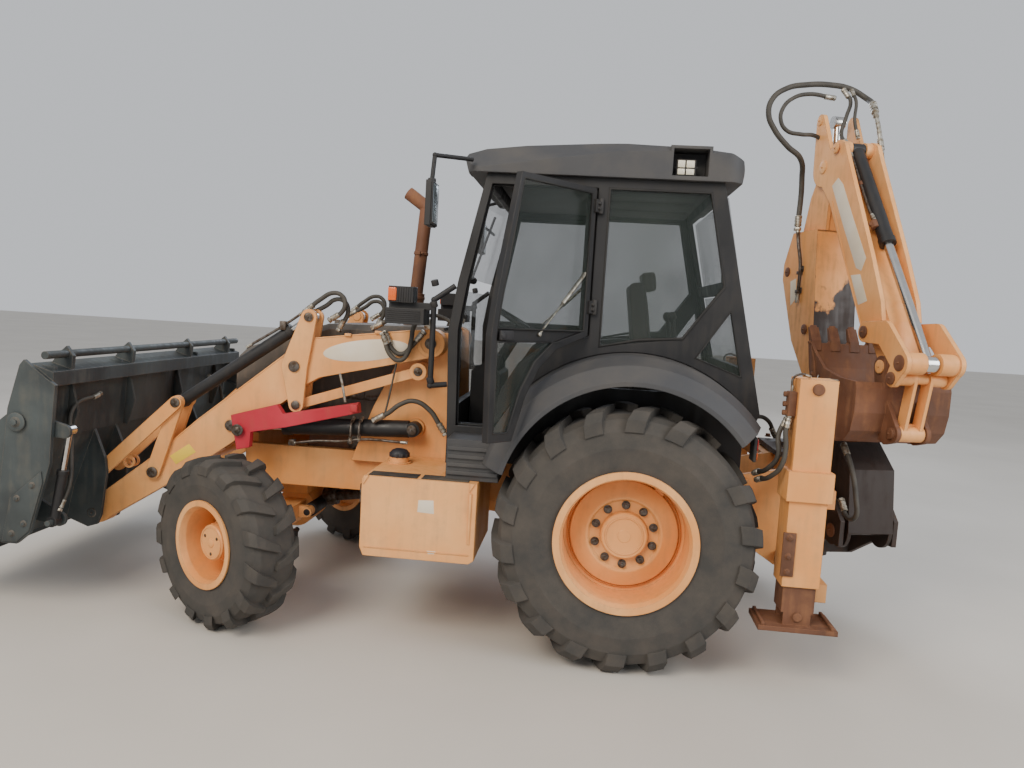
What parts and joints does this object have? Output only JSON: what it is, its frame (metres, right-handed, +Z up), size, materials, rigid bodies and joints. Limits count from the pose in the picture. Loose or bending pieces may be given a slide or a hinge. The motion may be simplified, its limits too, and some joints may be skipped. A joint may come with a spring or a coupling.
{
  "type": "backhoe loader",
  "caption": "Four-wheel tractor loader with a cab, a front bucket on lift arms that opens like a clam, and a side-shifting backhoe folded and swung at the back.",
  "frame": {"origin": "on the ground, at the middle of the whole outline's length and width, as the machine stands", "axes": "+X forward to the loader bucket, +Y to the machine's left, +Z up"},
  "size_m": [5.8921, 2.6291, 3.586],
  "materials": {
    "paint": "orange-tan machine paint",
    "dark_paint": "dark grey paint",
    "roof": "dark grey moulded plastic",
    "black": "black paint",
    "red": "red paint",
    "rust": "worn brown paint and rust",
    "bucket": "worn grey-green paint",
    "iron": "cast iron",
    "exhaust": "rusted steel",
    "rod": "hard chrome",
    "glass": "tinted glass",
    "seat": "black vinyl",
    "plastic": "dark plastic",
    "hose": "dusty black rubber hose",
    "tyre": "dusty rubber"
  },
  "bodies": {
    "chassis": {"chassis_frame": "paint", "engine_block": "iron", "exhaust_stack": "exhaust", "cab_frame": "black", "cab_roof": "roof", "cab_glass": "glass", "operator_seat": "seat", "dash_console": "plastic", "fenders": "dark_paint", "side_boxes": "paint", "lamps_mirrors": "black", "rear_axle": "paint", "front_axle": "paint", "rear_frame": "paint"},
    "hood": {"hood": "dark_paint"},
    "door_left": {"door_left": "black", "door_left_glass": "glass"},
    "door_right": {"door_right": "black", "door_right_glass": "glass"},
    "knuckle_left": {"knuckle_left": "paint"},
    "knuckle_right": {"knuckle_right": "paint"},
    "wheel_rear_left": {"tyre_rear_left": "tyre", "rim_rear_left": "paint"},
    "wheel_rear_right": {"tyre_rear_right": "tyre", "rim_rear_right": "paint"},
    "wheel_front_left": {"tyre_front_left": "tyre", "rim_front_left": "paint"},
    "wheel_front_right": {"tyre_front_right": "tyre", "rim_front_right": "paint"},
    "loader_arms": {"loader_arms": "paint", "safety_strut": "red"},
    "lift_barrels": {"lift_barrels": "black"},
    "lift_rods": {"lift_rods": "rod"},
    "bellcranks": {"bellcranks": "paint"},
    "levelling_links": {"levelling_links": "paint"},
    "guide_levers": {"guide_levers": "paint"},
    "bucket_links": {"bucket_links": "paint"},
    "tilt_barrels": {"tilt_barrels": "black"},
    "tilt_rods": {"tilt_rods": "rod"},
    "bucket_back": {"bucket_back": "bucket"},
    "bucket_clam": {"bucket_clam": "bucket"},
    "clam_barrels": {"clam_barrels": "black"},
    "clam_rods": {"clam_rods": "rod"},
    "swing_carriage": {"swing_carriage": "rust"},
    "kingpost": {"kingpost": "rust"},
    "boom": {"boom": "paint", "boom_hose": "hose"},
    "boom_barrel": {"boom_barrel": "black"},
    "boom_rod": {"boom_rod": "rod"},
    "dipper": {"dipper": "paint"},
    "dipper_barrel": {"dipper_barrel": "black"},
    "dipper_rod": {"dipper_rod": "rod"},
    "hoe_barrel": {"hoe_barrel": "black"},
    "hoe_rod": {"hoe_rod": "rod"},
    "guide_links": {"guide_links": "paint"},
    "push_link": {"push_link": "paint"},
    "hoe_bucket": {"hoe_bucket": "rust"},
    "stabiliser_left": {"stabiliser_left": "rust"},
    "stabiliser_right": {"stabiliser_right": "rust"}
  },
  "joints": [
    {"name": "steer_left", "type": "hinge", "parent": "chassis", "child": "knuckle_left", "pos_m": [1.091, 0.712, 0.4875], "axis": [0, 0, 1], "range_deg": [-3, 63]},
    {"name": "roll_front_left", "type": "hinge", "parent": "knuckle_left", "child": "wheel_front_left", "pos_m": [1.196, 0.89387, 0.4875], "axis": [0.5, 0.866, 0], "continuous": true},
    {"name": "roll_rear_left", "type": "hinge", "parent": "chassis", "child": "wheel_rear_left", "pos_m": [-1.059, 0.887, 0.715], "axis": [0, 1, 0], "continuous": true},
    {"name": "steer_right", "type": "hinge", "parent": "chassis", "child": "knuckle_right", "pos_m": [1.091, -0.778, 0.4875], "axis": [0, 0, 1], "range_deg": [-3, 63]},
    {"name": "roll_front_right", "type": "hinge", "parent": "knuckle_right", "child": "wheel_front_right", "pos_m": [0.986, -0.95986, 0.4875], "axis": [0.5, 0.866, 0], "continuous": true},
    {"name": "roll_rear_right", "type": "hinge", "parent": "chassis", "child": "wheel_rear_right", "pos_m": [-1.059, -0.953, 0.715], "axis": [0, 1, 0], "continuous": true},
    {"name": "hood_open", "type": "hinge", "parent": "chassis", "child": "hood", "pos_m": [1.401, -0.033, 1.03], "axis": [0, 1, 0], "range_deg": [0, 45]},
    {"name": "door_left_open", "type": "hinge", "parent": "chassis", "child": "door_left", "pos_m": [-0.816, 0.742, 0], "axis": [0, 0, 1], "range_deg": [-50, 20]},
    {"name": "door_right_open", "type": "hinge", "parent": "chassis", "child": "door_right", "pos_m": [-0.816, -0.808, 0], "axis": [0, 0, -1], "range_deg": [0, 70]},
    {"name": "loader_lift", "type": "hinge", "parent": "chassis", "child": "loader_arms", "pos_m": [0.136, -0.033, 1.665], "axis": [0, -1, 0], "range_deg": [-9, 70]},
    {"name": "lift_barrel_swing", "type": "hinge", "parent": "chassis", "child": "lift_barrels", "pos_m": [0.226, -0.033, 1.137], "axis": [0, -1, 0], "range_deg": [-9.68, 65.49]},
    {"name": "lift_rod_slide", "type": "slide", "parent": "lift_barrels", "child": "lift_rods", "axis": [0.999, 0, -0.0458], "range_m": [-0.0918, 0.621]},
    {"name": "bellcrank_turn", "type": "hinge", "parent": "loader_arms", "child": "bellcranks", "pos_m": [0.961, -0.033, 1.478], "axis": [0, -1, 0], "range_deg": [-54.31, 8.03]},
    {"name": "levelling_link_swing", "type": "hinge", "parent": "chassis", "child": "levelling_links", "pos_m": [0.203, -0.033, 1.493], "axis": [0, -1, 0], "range_deg": [-11.39, 77.08]},
    {"name": "bucket_tilt", "type": "hinge", "parent": "loader_arms", "child": "bucket_back", "pos_m": [2.216, -0.033, 0.48], "axis": [0, 1, 0], "range_deg": [-8, 60]},
    {"name": "guide_lever_turn", "type": "hinge", "parent": "loader_arms", "child": "guide_levers", "pos_m": [1.85, -0.033, 0.757], "axis": [0, 1, 0], "range_deg": [-6.89, 45.16]},
    {"name": "bucket_link_turn", "type": "hinge", "parent": "guide_levers", "child": "bucket_links", "pos_m": [1.699, -0.033, 1.207], "axis": [0, 1, 0], "range_deg": [-35.31, 5.39]},
    {"name": "tilt_barrel_swing", "type": "hinge", "parent": "guide_levers", "child": "tilt_barrels", "pos_m": [1.699, -0.033, 1.207], "axis": [0, 1, 0], "range_deg": [-55.03, 8.39]},
    {"name": "tilt_rod_slide", "type": "slide", "parent": "tilt_barrels", "child": "tilt_rods", "axis": [-0.819, 0, 0.5737], "range_m": [-0.047, 0.3082]},
    {"name": "clam_open", "type": "hinge", "parent": "bucket_back", "child": "bucket_clam", "pos_m": [2.281, -0.033, 1.127], "axis": [0, -1, 0], "range_deg": [0, 45]},
    {"name": "clam_barrel_swing", "type": "hinge", "parent": "bucket_back", "child": "clam_barrels", "pos_m": [2.126, -0.033, 0.56], "axis": [0, -1, 0], "range_deg": [-8.71, 0.17]},
    {"name": "clam_rod_slide", "type": "slide", "parent": "clam_barrels", "child": "clam_rods", "axis": [-0.1711, 0, 0.9853], "range_m": [-0.1808, 0.0035]},
    {"name": "side_shift", "type": "slide", "parent": "chassis", "child": "swing_carriage", "axis": [0, 1, 0], "range_m": [-0.1, 0.86]},
    {"name": "swing", "type": "hinge", "parent": "swing_carriage", "child": "kingpost", "pos_m": [-2.459, -0.413, 0.7], "axis": [0, 0, 1], "range_deg": [-14, 166]},
    {"name": "boom_lower", "type": "hinge", "parent": "kingpost", "child": "boom", "pos_m": [-2.57996, 0.07215, 0.64], "axis": [-0.9703, -0.2419, 0], "range_deg": [0, 80]},
    {"name": "boom_barrel_swing", "type": "hinge", "parent": "kingpost", "child": "boom_barrel", "pos_m": [-2.459, -0.413, 1.19], "axis": [-0.9703, -0.2419, 0], "range_deg": [-1.91, 97.18]},
    {"name": "boom_rod_slide", "type": "slide", "parent": "boom_barrel", "child": "boom_rod", "axis": [0.0928, -0.3723, 0.9235], "range_m": [-0.0145, 0.742]},
    {"name": "dipper_extend", "type": "hinge", "parent": "boom", "child": "dipper", "pos_m": [-2.42755, -0.53914, 2.98], "axis": [0.9703, 0.2419, 0], "range_deg": [0, 120]},
    {"name": "dipper_barrel_swing", "type": "hinge", "parent": "boom", "child": "dipper_barrel", "pos_m": [-2.42755, -0.53914, 1.88], "axis": [0.9703, 0.2419, 0], "range_deg": [-0.35, 18.1]},
    {"name": "dipper_rod_slide", "type": "slide", "parent": "dipper_barrel", "child": "dipper_rod", "axis": [0.0159, -0.0638, 0.9978], "range_m": [-0.5054, 0.0099]},
    {"name": "hoe_bucket_open", "type": "hinge", "parent": "dipper", "child": "hoe_bucket", "pos_m": [-2.63681, 0.30017, 1.69], "axis": [0.9703, 0.2419, 0], "range_deg": [0, 120]},
    {"name": "guide_link_turn", "type": "hinge", "parent": "dipper", "child": "guide_links", "pos_m": [-2.60706, 0.18082, 1.888], "axis": [0.9703, 0.2419, 0], "range_deg": [-1.91, 97.49]},
    {"name": "push_link_turn", "type": "hinge", "parent": "guide_links", "child": "push_link", "pos_m": [-2.68133, 0.4787, 1.637], "axis": [0.9703, 0.2419, 0], "range_deg": [-42.31, 0.83]},
    {"name": "hoe_barrel_swing", "type": "hinge", "parent": "dipper", "child": "hoe_barrel", "pos_m": [-2.46747, -0.37904, 3.075], "axis": [0.9703, 0.2419, 0], "range_deg": [-0.21, 10.61]},
    {"name": "hoe_rod_slide", "type": "slide", "parent": "hoe_barrel", "child": "hoe_rod", "axis": [-0.1384, 0.5553, -0.8201], "range_m": [-0.5599, 0.011]},
    {"name": "stabiliser_left_lower", "type": "slide", "parent": "chassis", "child": "stabiliser_left", "axis": [0, 0, -1], "range_m": [0, 0.326]},
    {"name": "stabiliser_right_lower", "type": "slide", "parent": "chassis", "child": "stabiliser_right", "axis": [0, 0, -1], "range_m": [0, 0.326]}
  ],
  "couplings": [
    {"joint": "steer_right", "follows": "steer_left", "ratio": 1},
    {"joint": "lift_barrel_swing", "follows": "loader_lift", "ratio": 0.91496},
    {"joint": "lift_rod_slide", "follows": "loader_lift", "m_per_rad": 0.49705},
    {"joint": "bellcrank_turn", "follows": "loader_lift", "ratio": -0.75875},
    {"joint": "levelling_link_swing", "follows": "loader_lift", "ratio": 1.0769},
    {"joint": "guide_lever_turn", "follows": "bucket_tilt", "ratio": 0.73593},
    {"joint": "bucket_link_turn", "follows": "bucket_tilt", "ratio": -0.57539},
    {"joint": "tilt_barrel_swing", "follows": "bucket_tilt", "ratio": -0.89687},
    {"joint": "tilt_rod_slide", "follows": "bucket_tilt", "m_per_rad": 0.28775},
    {"joint": "clam_barrel_swing", "follows": "clam_open", "ratio": -0.18987},
    {"joint": "clam_rod_slide", "follows": "clam_open", "m_per_rad": -0.2257},
    {"joint": "boom_barrel_swing", "follows": "boom_lower", "ratio": 1.191},
    {"joint": "boom_rod_slide", "follows": "boom_lower", "m_per_rad": 0.52103},
    {"joint": "dipper_barrel_swing", "follows": "dipper_extend", "ratio": 0.14791},
    {"joint": "dipper_rod_slide", "follows": "dipper_extend", "m_per_rad": -0.23658},
    {"joint": "guide_link_turn", "follows": "hoe_bucket_open", "ratio": 0.79645},
    {"joint": "push_link_turn", "follows": "hoe_bucket_open", "ratio": -0.34565},
    {"joint": "hoe_barrel_swing", "follows": "hoe_bucket_open", "ratio": 0.08669},
    {"joint": "hoe_rod_slide", "follows": "hoe_bucket_open", "m_per_rad": -0.26209}
  ]
}
